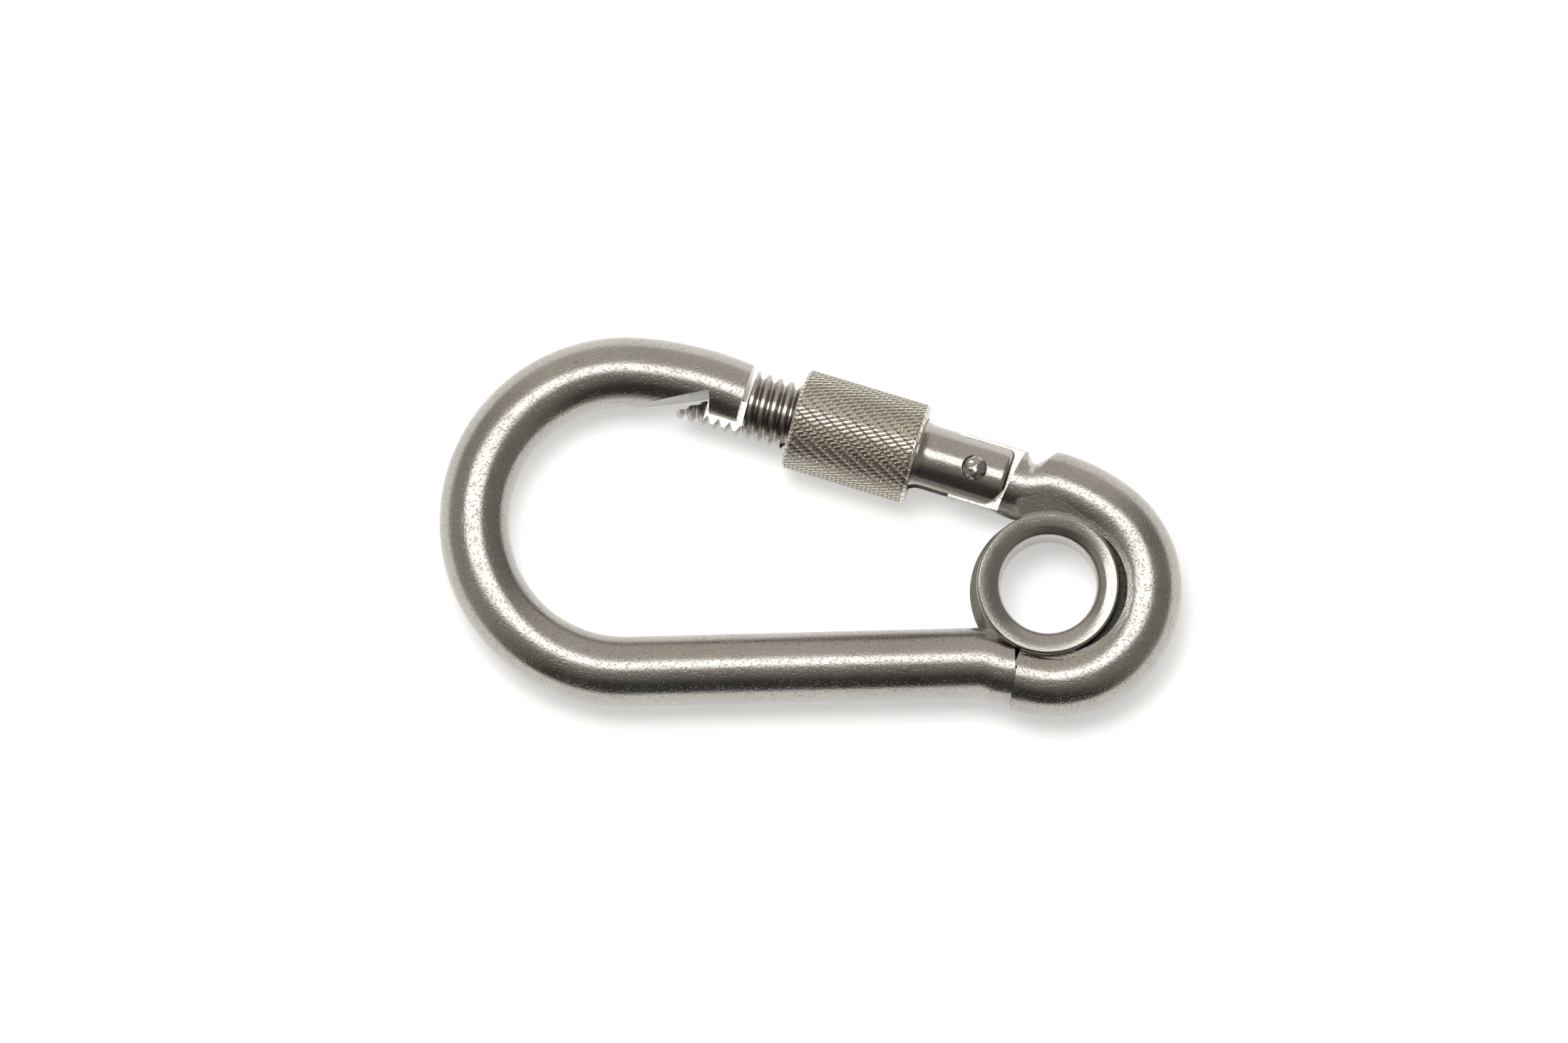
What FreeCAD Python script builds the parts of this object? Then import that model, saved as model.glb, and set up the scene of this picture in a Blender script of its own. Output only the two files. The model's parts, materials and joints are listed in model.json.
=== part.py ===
"""Screw-lock snap hook, 8 x 80 mm, with an eyelet pressed into its small end.

The hook lies in the XY plane. The origin is the centre of the eyelet, +Z is the eyelet's bore axis,
+X runs along the spine towards the eye end, and +Y points from the spine to the gate. Pieces that sit
on the gate are drawn in the gate's own frame: x along the gate from the hinge to the nose, y inwards
to the loop, z as above, with the hinge pin at its origin.
"""

import FreeCAD, Part
import math
import os

import Sketcher
from FreeCAD import Placement, Rotation, Vector

DIMENSIONS = {
    # hook frame: a bent round bar
    "wire_diameter": 7.5,
    "spine_drop": 7.95,
    "bow_distance": 45.42,
    "bow_radius": 16.3,
    "nose_bend_start": 84.2,
    "nose_radius": 35.6,
    "nose_bend_end": 63.7,
    "step_position": 3.75,
    "step_drop": 0.95,
    "step_bend": 5.0,
    "eye_shift_x": 0.55,
    "eye_shift_y": 0.15,
    "eye_radius": 10.05,
    "eye_start": 257.0,
    "eye_lead": 2.0,
    "eye_end": 50.55,
    "crown_radius": 19.0,
    "crown_end": 69.5,
    "neck_bend_out": 5.0,
    "neck_bend_in": 4.0,
    # the land that meets the eyelet's front flange, with a hollow that is widest beyond the eyelet
    "land_inside": 7.7,
    "land_inside_top": 3.0,
    "land_outside": 9.6,
    "land_outside_top": 3.6,
    "land_floor": 1.5,
    "land_start": 246.0,
    "land_sweep": 224.0,
    "hollow_x": 1.55,
    "hollow_y": 0.39,
    "hollow_radius": 6.98,
    # hinge and tongue, measured along the gate
    "hinge_x": -7.635,
    "hinge_y": 12.76,
    "gate_angle": 18.4,
    "tongue_thickness": 2.8,
    "tongue_tail": 1.95,
    "shoulder_top": 4.85,
    "shoulder_bottom": 3.44,
    "shoulder_spread": 0.3,
    "notch_front": 5.04,
    "notch_floor_front": 5.75,
    "notch_floor_front_out": 2.75,
    "notch_floor_rear": 6.3,
    "notch_floor_rear_out": 2.8,
    "notch_rounding": 0.7,
    "notch_rear": 9.77,
    "notch_axis": 2.18,
    "notch_sweep": 150.0,
    "rivet_head_spread": 0.12,
    "rivet_diameter": 2.5,
    "rivet_play": 0.06,
    "rivet_length": 8.0,
    "rivet_dome": 0.7,
    "rivet_seat": 3.15,
    # nose: hook tooth, undercut and slot
    "nose_end": 26.1,
    "tooth_bottom": 2.3,
    "tooth_root": 29.25,
    "tooth_lean": 0.45,
    "undercut_top": 0.15,
    "undercut_reach": 37.0,
    "undercut_drop": 3.85,
    "outside": 6.5,
    "slot_width": 2.9,
    "slot_top": 0.2,
    "slot_reach": 29.9,
    # gate
    "shank_radius": 3.6,
    "fork_end": 3.75,
    "fork_rounding": 0.7,
    "fork_width": 3.0,
    "fork_depth": 2.6,
    "fork_floor": 0.4,
    "fork_ramp_top": 2.45,
    "fork_mouth": 4.2,
    "toe_start": 1.0,
    "toe_reach": 1.8,
    "toe_end": 3.3,
    "toe_rounding": 3.2,
    "collar_radius": 3.9,
    "collar_start": 6.3,
    "collar_flare": 1.05,
    "collar_end": 6.95,
    "relief_radius": 2.93,
    "thread_start": 8.3,
    "thread_pitch": 1.25,
    "thread_major": 3.67,
    "thread_minor": 2.97,
    "thread_lead_in": 0.7,
    "thread_run_out": 0.4,
    "thread_overcut": 0.2,
    "groove_mouth": 0.9,
    "groove_floor": 0.12,
    "shoulder_face": 25.4,
    "head_back": 29.6,
    "gate_tip": 32.75,
    "tip_chamfer": 0.35,
    "web_thickness": 2.6,
    "web_top": 0.1,
    "head_slope_start": 27.45,
    "head_slope_end": 33.05,
    "head_slope_drop": 3.46,
    "bore_radius": 2.1,
    "bore_end": 14.0,
    "drill_point": 1.2,
    "seat_play": 0.14,
    # spring and plunger
    "plunger_radius": 2.0,
    "plunger_face": 2.0,
    "plunger_length": 3.4,
    "plunger_rounding": 0.3,
    "plunger_stem": 2.5,
    "plunger_stem_radius": 1.1,
    "spring_wire": 0.45,
    "spring_radius": 1.72,
    "spring_pitch": 1.05,
    "spring_play": 0.03,
    # lock sleeve
    "sleeve_radius": 5.49,
    "sleeve_start": 6.41,
    "sleeve_end": 20.15,
    "sleeve_bevel": 0.28,
    "rim_width": 0.4,
    "rim_gap": 0.05,
    "hinge_counterbore": 4.1,
    "nose_counterbore": 4.75,
    "sleeve_thread_start": 8.0,
    "sleeve_thread_end": 16.0,
    "sleeve_minor": 3.25,
    "sleeve_major": 3.84,
    "thread_play": 0.14,
    "thread_lip": 0.05,
    # eyelet
    "eyelet_bore": 5.2,
    "eyelet_mouth": 5.64,
    "eyelet_saddle": 3.95,
    "eyelet_saddle_centre": 10.05,
    "eyelet_play": 0.15,
    "front_rim": 7.7,
    "front_face": 3.65,
    "front_dish": 0.65,
    "face_curve": 6.0,
    "rim_rounding": 0.3,
    "rear_rim": 8.5,
    "rear_face": 4.15,
    "rear_dish": 0.75,
    "rear_land": 0.5,
    "rear_chamfer": 0.15,
    "mouth_depth": 1.15,
    "mouth_curve": 1.8,
}

doc = FreeCAD.newDocument("snap_hook")
sheet = doc.addObject("Spreadsheet::Sheet", "Dimensions")
for row, (alias, number) in enumerate(DIMENSIONS.items(), start=1):
    sheet.set(f"A{row}", alias)
    sheet.set(f"B{row}", str(number))
    sheet.setAlias(f"B{row}", alias)
doc.recompute()


def bound(text):
    """A formula in which each {name} is a dimension from the sheet."""
    names = {alias: f"Dimensions.{alias}" for alias in DIMENSIONS}
    return text.format(**names)


def value(text):
    """What a formula is worth now, as a plain number."""
    worth = sheet.evalExpression(bound(text))
    return float(getattr(worth, "Value", worth))


def origin_plane(body, role):
    return next(feature for feature in body.Origin.OriginFeatures if feature.Role == role)


def new_body(label, in_gate_frame=False):
    body = doc.addObject("PartDesign::Body", label)
    body.Label = label
    if in_gate_frame:
        turn_to_gate(body, "Placement")
    return body


def turn_to_gate(thing, prop):
    """Bind a placement to the gate's frame: origin at the hinge pin, x towards the nose."""
    start = Vector(value("{hinge_x}"), value("{hinge_y}"), 0)
    setattr(thing, prop, Placement(start, Rotation(Vector(0, 0, 1), 180 - value("{gate_angle}"))))
    thing.setExpression(f"{prop}.Base.x", bound("{hinge_x} * 1 mm"))
    thing.setExpression(f"{prop}.Base.y", bound("{hinge_y} * 1 mm"))
    thing.setExpression(f"{prop}.Rotation.Angle", bound("(180 - {gate_angle}) * 1 deg"))


def gate_place(x, y):
    """Formulas for how far a point of the row's frame lies along the gate, and outwards from its axis."""
    slope = "({gate_angle} * 1 deg)"
    along = f"(({{hinge_x}} - {x}) * cos{slope} + ({y} - {{hinge_y}}) * sin{slope})"
    out = f"(({x} - {{hinge_x}}) * sin{slope} + ({y} - {{hinge_y}}) * cos{slope})"
    return along, out


def row_place(along, out):
    """The other way round: formulas for the x and y of a point given along and out from the gate's axis."""
    slope = "({gate_angle} * 1 deg)"
    return (f"{{hinge_x}} - {along} * cos{slope} + {out} * sin{slope}",
            f"{{hinge_y}} + {along} * sin{slope} + {out} * cos{slope}")


def new_sketch(body, name, plane="XY_Plane", in_gate_frame=False):
    sketch = body.newObject("Sketcher::SketchObject", name)
    sketch.AttachmentSupport = [(origin_plane(body, plane), "")]
    sketch.MapMode = "FlatFace"
    if in_gate_frame:
        turn_to_gate(sketch, "AttachmentOffset")
    return sketch


def fix_point(sketch, geometry, end, where, name):
    """Tie one end of a sketch line or arc to a place given by two formulas."""
    for axis, formula, kind, line in (("x", where[0], "DistanceX", -2), ("y", where[1], "DistanceY", -1)):
        number = value(formula)
        if formula == "0":
            sketch.addConstraint(Sketcher.Constraint("PointOnObject", geometry, end, line))
            continue
        tie = sketch.addConstraint(Sketcher.Constraint(kind, -1, 1, geometry, end, number))
        sketch.renameConstraint(tie, name + axis)
        sketch.setExpression("Constraints." + name + axis, bound(formula))


def outline(sketch, start, steps, closed=True):
    """Draw lines and arcs from point to point, all tied to the sheet.

    A step is (x, y) for a line, or (x, y, radius, side) for an arc of under half a turn, with side
    +1 when it turns left and -1 when it turns right. All are formulas but the side.
    """
    points = [start] + [step[:2] for step in steps]
    places = [Vector(value(x), value(y), 0) for x, y in points]
    for number, step in enumerate(steps):
        begin, end = places[number], places[number + 1]
        if len(step) == 2:
            sketch.addGeometry(Part.LineSegment(begin, end))
            continue
        radius, side = value(step[2]), step[3]
        chord = end - begin
        rise = radius - math.sqrt(radius**2 - chord.Length**2 / 4)
        across = Vector(chord.y, -chord.x, 0).normalize()
        sketch.addGeometry(Part.Arc(begin, (begin + end) / 2 + across * rise * side, end))
    last = len(steps) - 1
    for number, step in enumerate(steps):
        # an arc that turns right is stored from its far end, because arcs run anticlockwise
        turned = len(step) == 4 and step[3] < 0
        before = steps[number - 1]
        before_turned = len(before) == 4 and before[3] < 0
        here = 2 if turned else 1
        if number or closed:
            previous = number - 1 if number else last
            there = 1 if before_turned else 2
            sketch.addConstraint(Sketcher.Constraint("Coincident", previous, there, number, here))
        fix_point(sketch, number, here, points[number], f"p{number}")
        if len(step) == 4:
            tie = sketch.addConstraint(Sketcher.Constraint("Radius", number, value(step[2])))
            sketch.renameConstraint(tie, f"r{number}")
            sketch.setExpression(f"Constraints.r{number}", bound(step[2]))
    if not closed:
        turned = len(steps[-1]) == 4 and steps[-1][3] < 0
        fix_point(sketch, last, 1 if turned else 2, points[-1], "end")


def round_spot(sketch, centre, radius):
    """A circle with its centre and radius tied to the sheet."""
    circle = sketch.addGeometry(Part.Circle(Vector(value(centre[0]), value(centre[1]), 0),
                                            Vector(0, 0, 1), value(radius)))
    fix_point(sketch, circle, 3, centre, "centre")
    tie = sketch.addConstraint(Sketcher.Constraint("Radius", circle, value(radius)))
    sketch.renameConstraint(tie, "size")
    sketch.setExpression("Constraints.size", bound(radius))


def cut_through(body, sketch, name):
    """Cut a sketch through the whole body, both ways."""
    pocket = body.newObject("PartDesign::Pocket", name)
    pocket.Profile = sketch
    pocket.Type = "ThroughAll"
    pocket.Midplane = True
    return pocket


def cut_depth(body, sketch, name, length):
    """Cut a sketch to a length that is centred on its plane."""
    pocket = body.newObject("PartDesign::Pocket", name)
    pocket.Profile = sketch
    pocket.Type = "Length"
    pocket.Midplane = True
    pocket.setExpression("Length", bound(length))
    return pocket


def cut_sides(body, sketch, name, thickness):
    """Cut a sketch away above and below a web of the given thickness that is centred on z = 0."""
    sketch.setExpression("AttachmentOffset.Base.z", bound(f"{thickness} / 2 * 1 mm"))
    pocket = body.newObject("PartDesign::Pocket", name)
    pocket.Profile = sketch
    pocket.Type = "ThroughAll"
    pocket.Reversed = True
    mirror = body.newObject("PartDesign::Mirrored", name + "_mirror")
    mirror.Originals = [pocket]
    mirror.MirrorPlane = (origin_plane(body, "XY_Plane"), [""])
    body.Tip = mirror
    return mirror


def turn(body, sketch, name, kind="PartDesign::Revolution", axis="H_Axis", sweep="360"):
    """Turn a half profile about one of its sketch's axes."""
    turned = body.newObject(kind, name)
    turned.Profile = sketch
    turned.ReferenceAxis = (sketch, [axis])
    turned.setExpression("Angle", bound(f"{sweep} * 1 deg"))
    return turned


def add_land(body):
    """Fill the hollow between the bar's round shoulder and the eyelet's front flange."""
    land = new_sketch(body, "land_profile", plane="XZ_Plane")
    # the sketch stands on the bore's axis, and its own y is that axis
    land.AttachmentOffset = Placement(Vector(0, 0, 0), Rotation(Vector(0, 1, 0), value("{land_start}")))
    land.setExpression("AttachmentOffset.Rotation.Angle", bound("{land_start} * 1 deg"))
    outline(land, ("{land_inside}", "{land_floor}"), [
        ("{land_outside}", "{land_floor}"),
        ("{land_outside}", "{land_outside_top}"),
        ("{land_inside}", "{land_inside_top}"),
        ("{land_inside}", "{land_floor}"),
    ])
    turn(body, land, "land", axis="V_Axis", sweep="{land_sweep}")

    hollow = new_sketch(body, "land_hollow_profile")
    hollow.setExpression("AttachmentOffset.Base.z", bound("{land_floor} * 1 mm"))
    round_spot(hollow, ("{hollow_x}", "-{hollow_y}"), "{hollow_radius}")
    pocket = body.newObject("PartDesign::Pocket", "land_hollow")
    pocket.Profile = hollow
    pocket.Type = "ThroughAll"
    pocket.Reversed = True


def bar(body, path, section, name):
    """Sweep a round section along a path sketch."""
    pipe = body.newObject("PartDesign::AdditivePipe", name)
    pipe.Profile = section
    pipe.Spine = (path, [f"Edge{number + 1}" for number in range(path.GeometryCount)])
    return pipe


def section_at_start(body, path, name, radius="{wire_diameter} / 2"):
    """A circle square to the first end of a path."""
    sketch = body.newObject("Sketcher::SketchObject", name)
    sketch.AttachmentSupport = [(path, "Edge1")]
    sketch.MapMode = "NormalToEdge"
    sketch.MapPathParameter = 0
    round_spot(sketch, ("0", "0"), radius)
    return sketch


def helix(body, sketch, name, height):
    """Cut a right-hand thread groove with the profile in a sketch, about the sketch's x axis."""
    groove = body.newObject("PartDesign::SubtractiveHelix", name)
    groove.Profile = sketch
    groove.ReferenceAxis = (sketch, ["H_Axis"])
    groove.Mode = "pitch-height-angle"
    groove.setExpression("Pitch", bound("{thread_pitch}"))
    groove.setExpression("Height", bound(height))
    groove.LeftHanded = False
    groove.HasBeenEdited = True
    return groove


def make_hook_frame():
    """The bent bar: spine, bow and nose; the eye pressed outwards; the flat tongue of the hinge."""
    body = new_body("hook_frame")

    path = new_sketch(body, "bow_path")
    bow_x, bow_y = "(-{bow_distance})", "({bow_radius} - {spine_drop})"
    bend = "({nose_bend_start} * 1 deg)"
    tip = "({nose_bend_end} * 1 deg)"
    joint_x = f"{bow_x} + {{bow_radius}} * cos{bend}"
    joint_y = f"{bow_y} + {{bow_radius}} * sin{bend}"
    # the spine jogs down by the step to meet the eye: two equal bends, each over half the drop
    jog_rise = "(1 - {step_drop} / 2 / {step_bend})"
    jog_run = f"({{step_bend}} * sqrt(1 - {jog_rise}^2))"
    outline(path, ("-{step_position}", "-{spine_drop} - {step_drop}"), [
        (f"-{{step_position}} - {jog_run}", "-{spine_drop} - {step_drop} / 2", "{step_bend}", -1),
        (f"-{{step_position}} - 2 * {jog_run}", "-{spine_drop}", "{step_bend}", 1),
        (bow_x, "-{spine_drop}"),
        (f"{bow_x} - {{bow_radius}}", bow_y, "{bow_radius}", -1),
        (joint_x, joint_y, "{bow_radius}", -1),
        (f"{joint_x} + {{nose_radius}} * (cos{tip} - cos{bend})",
         f"{joint_y} + {{nose_radius}} * (sin{tip} - sin{bend})", "{nose_radius}", -1),
    ], closed=False)
    bar(body, path, section_at_start(body, path, "bow_section"), "bow")

    eye = new_sketch(body, "eye_path")
    start, end, top = "({eye_start} * 1 deg)", "({eye_end} * 1 deg)", "({crown_end} * 1 deg)"
    low_x = f"{{eye_shift_x}} + {{eye_radius}} * cos{start}"
    low_y = f"-{{eye_shift_y}} + {{eye_radius}} * sin{start}"
    high_x = f"({{eye_shift_x}} + {{eye_radius}} * cos{end})"
    high_y = f"(-{{eye_shift_y}} + {{eye_radius}} * sin{end})"
    crown_x = f"({high_x} + {{crown_radius}} * (cos{top} - cos{end}))"
    crown_y = f"({high_y} + {{crown_radius}} * (sin{top} - sin{end}))"
    # from the crown the bar bends inwards and back onto the gate's axis, worked out in the gate's frame
    crown_s, crown_t = gate_place(crown_x, crown_y)
    rise = "((90 - {gate_angle} - {crown_end}) * 1 deg)"
    bends = "({neck_bend_in} + {neck_bend_out})"
    turned = f"(({{neck_bend_in}} + {{neck_bend_out}} * cos{rise} - {crown_t}) / {bends})"
    side = f"sqrt(1 - {turned}^2)"
    middle_s = f"({crown_s} + {{neck_bend_out}} * (sin{rise} + {side}))"
    outline(eye, (f"{low_x} + {{eye_lead}} * sin{start}", f"{low_y} - {{eye_lead}} * cos{start}"), [
        (low_x, low_y),
        ("{eye_shift_x} + {eye_radius}", "-{eye_shift_y}", "{eye_radius}", 1),
        (high_x, high_y, "{eye_radius}", 1),
        (crown_x, crown_y, "{crown_radius}", 1),
        (*row_place(middle_s, f"({{neck_bend_in}} * (1 - {turned}))"), "{neck_bend_out}", 1),
        (*row_place(f"({middle_s} + {{neck_bend_in}} * {side})", "0"), "{neck_bend_in}", -1),
        row_place("{tongue_tail}", "0"),
    ], closed=False)
    bar(body, eye, section_at_start(body, eye, "eye_section"), "eye")

    add_land(body)

    flats = new_sketch(body, "tongue_flats", in_gate_frame=True)
    outline(flats, ("-{shoulder_top} - {shoulder_spread}", "-{outside}"), [
        ("{tongue_tail} + 1", "-{outside}"),
        ("{tongue_tail} + 1", "{outside}"),
        ("-{shoulder_bottom} + {shoulder_spread}", "{outside}"),
        ("-{shoulder_top} - {shoulder_spread}", "-{outside}"),
    ])
    cut_sides(body, flats, "tongue_sides", "{tongue_thickness}")

    # the notch fades towards the bar's top: it is turned about an axis on the far side of the gate's own
    notch = new_sketch(body, "crown_notch_profile", in_gate_frame=True)
    for axis, formula in zip("xy", row_place("0", "-{notch_axis}")):
        notch.setExpression(f"AttachmentOffset.Base.{axis}", bound(f"({formula}) * 1 mm"))
    outline(notch, ("-{notch_front}", "-{shank_radius} - {notch_axis}"), [
        ("-{notch_front}", "-{outside} - {notch_axis}"),
        ("-{notch_rear}", "-{outside} - {notch_axis}"),
        ("-{notch_floor_rear}", "-{notch_floor_rear_out} - {notch_axis}"),
        ("-{notch_floor_front}", "-{notch_floor_front_out} - {notch_axis}", "{notch_rounding}", -1),
        ("-{notch_front}", "-{shank_radius} - {notch_axis}"),
    ])
    groove = turn(body, notch, "crown_notch", kind="PartDesign::Groove", sweep="{notch_sweep}")
    groove.Midplane = True

    end_face = new_sketch(body, "nose_end_profile", in_gate_frame=True)
    outline(end_face, ("{nose_end} - 4", "-{outside}"), [
        ("{nose_end}", "-{outside}"),
        ("{nose_end}", "{outside}"),
        ("{nose_end} - 4", "{outside}"),
        ("{nose_end} - 4", "-{outside}"),
    ])
    cut_through(body, end_face, "nose_end_cut")

    undercut = new_sketch(body, "undercut_profile", in_gate_frame=True)
    outline(undercut, ("{nose_end} - 1", "{tooth_bottom}"), [
        ("{tooth_root}", "{tooth_bottom}"),
        ("{tooth_root} + {tooth_lean}", "{undercut_top}"),
        ("{undercut_reach}", "{undercut_drop}"),
        ("{undercut_reach}", "{outside}"),
        ("{nose_end} - 1", "{outside}"),
        ("{nose_end} - 1", "{tooth_bottom}"),
    ])
    cut_through(body, undercut, "undercut")

    slot = new_sketch(body, "nose_slot_profile", in_gate_frame=True)
    outline(slot, ("{nose_end} - 1", "-{slot_top}"), [
        ("{slot_reach}", "-{slot_top}"),
        ("{slot_reach}", "{outside}"),
        ("{nose_end} - 1", "{outside}"),
        ("{nose_end} - 1", "-{slot_top}"),
    ])
    cut_depth(body, slot, "nose_slot", "{slot_width}")

    hole = new_sketch(body, "rivet_hole_profile", in_gate_frame=True)
    round_spot(hole, ("0", "0"), "{rivet_diameter} / 2 + {rivet_play}")
    cut_through(body, hole, "rivet_hole")

    seat = new_sketch(body, "eyelet_seat_profile", plane="XZ_Plane")
    saddle = "({eyelet_saddle} - {eyelet_play})"
    front, rear = "({front_rim} + {eyelet_play})", "({rear_rim} + {eyelet_play})"
    outline(seat, ("0", "-{outside}"), [
        (rear, "-{outside}"),
        (rear, f"-sqrt({saddle}^2 - ({{eyelet_saddle_centre}} - {rear})^2)"),
        (front, f"sqrt({saddle}^2 - ({{eyelet_saddle_centre}} - {front})^2)", saddle, -1),
        (front, "{outside}"),
        ("0", "{outside}"),
        ("0", "-{outside}"),
    ])
    turn(body, seat, "eyelet_seat", kind="PartDesign::Groove", axis="V_Axis")
    return body


def make_gate():
    """The forked, threaded bar that closes the hook, with the T head that sits behind the nose."""
    body = new_body("gate", in_gate_frame=True)

    profile = new_sketch(body, "gate_profile")
    swell = "({collar_radius} - {shank_radius})"
    flare = f"(({{collar_flare}}^2 + {swell}^2) / 2 / {swell})"
    outline(profile, ("-{fork_end}", "0"), [
        ("{gate_tip}", "0"),
        ("{gate_tip}", "{thread_major} - {tip_chamfer}"),
        ("{gate_tip} - {tip_chamfer}", "{thread_major}"),
        ("{thread_start} + {thread_lead_in}", "{thread_major}"),
        ("{thread_start}", "{relief_radius}"),
        ("{collar_end}", "{relief_radius}"),
        ("{collar_end}", "{collar_radius}"),
        ("{collar_start}", "{collar_radius}"),
        ("{collar_start} - {collar_flare}", "{shank_radius}", flare, -1),
        ("-{fork_end} + {fork_rounding}", "{shank_radius}"),
        ("-{fork_end}", "{shank_radius} - {fork_rounding}", "{fork_rounding}", 1),
        ("-{fork_end}", "0"),
    ])
    turn(body, profile, "gate_bar")

    fork = new_sketch(body, "fork_profile")
    outline(fork, ("-{fork_end} - 1", "-{outside}"), [
        ("{fork_depth}", "-{outside}"),
        ("{fork_depth}", "{fork_floor}"),
        ("{collar_end}", "{fork_ramp_top}"),
        ("{thread_start}", "{fork_mouth}"),
        ("{thread_start}", "{outside}"),
        ("-{fork_end} - 1", "{outside}"),
        ("-{fork_end} - 1", "-{outside}"),
    ])
    cut_depth(body, fork, "fork_slot", "{fork_width}")

    toe = new_sketch(body, "fork_toe_profile")
    outline(toe, ("-{fork_end} - 0.01", "{toe_start}"), [
        ("-{toe_reach}", "{toe_end}", "{toe_rounding}", -1),
        ("-{toe_reach}", "{outside}"),
        ("-{fork_end} - 1", "{outside}"),
        ("-{fork_end} - 1", "{toe_start}"),
        ("-{fork_end} - 0.01", "{toe_start}"),
    ])
    cut_through(body, toe, "fork_toe")

    neck = new_sketch(body, "neck_profile")
    outline(neck, ("{shoulder_face}", "-{outside}"), [
        ("{head_back}", "-{outside}"),
        ("{head_back}", "{outside}"),
        ("{shoulder_face}", "{outside}"),
        ("{shoulder_face}", "-{outside}"),
    ])
    cut_sides(body, neck, "neck_sides", "{web_thickness}")

    crown = new_sketch(body, "head_slope_profile")
    outline(crown, ("{shoulder_face}", "-{outside}"), [
        ("{shoulder_face}", "{web_top}"),
        ("{head_slope_start}", "{web_top}"),
        ("{head_slope_end}", "{head_slope_drop}"),
        ("{head_slope_end}", "-{outside}"),
        ("{shoulder_face}", "-{outside}"),
    ])
    cut_through(body, crown, "head_slope")

    hole = new_sketch(body, "gate_rivet_hole_profile")
    round_spot(hole, ("0", "0"), "{rivet_diameter} / 2")
    cut_through(body, hole, "gate_rivet_hole")

    bore = new_sketch(body, "spring_bore_profile")
    outline(bore, ("{fork_depth} - 1", "0"), [
        ("{bore_end} + {drill_point}", "0"),
        ("{bore_end}", "{bore_radius}"),
        ("{fork_depth} - 1", "{bore_radius}"),
        ("{fork_depth} - 1", "0"),
    ])
    turn(body, bore, "spring_bore", kind="PartDesign::Groove")

    seats = new_sketch(body, "rivet_seat_profile")
    round_spot(seats, ("0", "0"), "{rivet_diameter} / 2 + {seat_play}")
    cut_sides(body, seats, "rivet_seats", "(2 * {rivet_seat})")

    groove = new_sketch(body, "thread_groove_profile")
    spread = "({groove_mouth} - {groove_floor}) / 2 / ({thread_major} - {thread_minor})"
    brim = "({thread_major} + {thread_overcut})"
    brim_half = f"({{groove_mouth}} / 2 + {{thread_overcut}} * {spread})"
    middle = "({thread_start} - {thread_run_out})"
    outline(groove, (f"{middle} - {{groove_floor}} / 2", "{thread_minor}"), [
        (f"{middle} + {{groove_floor}} / 2", "{thread_minor}"),
        (f"{middle} + {brim_half}", brim),
        (f"{middle} - {brim_half}", brim),
        (f"{middle} - {{groove_floor}} / 2", "{thread_minor}"),
    ])
    helix(body, groove, "thread", "{gate_tip} - {thread_start} + {thread_run_out} + {thread_pitch}")
    return body


def make_rivet():
    """The hinge pin, peened over into a dome at each end."""
    body = new_body("hinge_rivet", in_gate_frame=True)
    profile = new_sketch(body, "rivet_profile", plane="XZ_Plane")
    head = "({rivet_diameter} / 2 + {rivet_head_spread})"
    dome = f"(({head}^2 + {{rivet_dome}}^2) / 2 / {{rivet_dome}})"
    brim = "({rivet_length} / 2 - {rivet_dome})"
    outline(profile, ("0", "-{rivet_length} / 2"), [
        (head, f"-{brim}", dome, 1),
        (head, "-{rivet_seat}"),
        ("{rivet_diameter} / 2", "-{rivet_seat}"),
        ("{rivet_diameter} / 2", "{rivet_seat}"),
        (head, "{rivet_seat}"),
        (head, brim),
        ("0", "{rivet_length} / 2", dome, 1),
        ("0", "-{rivet_length} / 2"),
    ])
    turn(body, profile, "rivet", axis="V_Axis")
    return body


def make_plunger():
    """The stepped pin that the spring pushes against the tongue's tail."""
    body = new_body("spring_plunger", in_gate_frame=True)
    profile = new_sketch(body, "plunger_profile")
    stem_end = "{plunger_face} + {plunger_length} + {plunger_stem}"
    outline(profile, ("{plunger_face}", "0"), [
        (stem_end, "0"),
        (stem_end, "{plunger_stem_radius}"),
        ("{plunger_face} + {plunger_length}", "{plunger_stem_radius}"),
        ("{plunger_face} + {plunger_length}", "{plunger_radius}"),
        ("{plunger_face} + {plunger_rounding}", "{plunger_radius}"),
        ("{plunger_face}", "{plunger_radius} - {plunger_rounding}", "{plunger_rounding}", 1),
        ("{plunger_face}", "0"),
    ])
    turn(body, profile, "plunger")
    return body


def make_spring():
    """The compression spring between the plunger and the bottom of the gate's bore."""
    body = new_body("gate_spring", in_gate_frame=True)
    wire = new_sketch(body, "spring_wire_profile")
    first = "({plunger_face} + {plunger_length} + {spring_wire} / 2 + {spring_play})"
    round_spot(wire, (first, "{spring_radius}"), "{spring_wire} / 2")
    coil = body.newObject("PartDesign::AdditiveHelix", "coil")
    coil.Profile = wire
    coil.ReferenceAxis = (wire, ["H_Axis"])
    coil.Mode = "pitch-height-angle"
    coil.setExpression("Pitch", bound("{spring_pitch}"))
    coil.setExpression("Height", bound(f"{{bore_end}} - {first} - {{spring_wire}} / 2 - {{spring_play}}"))
    coil.HasBeenEdited = True
    return body


def make_sleeve_rim():
    """The sleeve's plain bevelled end ring on the hinge side."""
    body = new_body("sleeve_rim", in_gate_frame=True)
    profile = new_sketch(body, "rim_profile")
    outline(profile, ("{sleeve_start}", "{hinge_counterbore}"), [
        ("{sleeve_start} + {rim_width}", "{hinge_counterbore}"),
        ("{sleeve_start} + {rim_width}", "{sleeve_radius}"),
        ("{sleeve_start} + {sleeve_bevel}", "{sleeve_radius}"),
        ("{sleeve_start}", "{sleeve_radius} - {sleeve_bevel}"),
        ("{sleeve_start}", "{hinge_counterbore}"),
    ])
    turn(body, profile, "rim")
    return body


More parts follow.
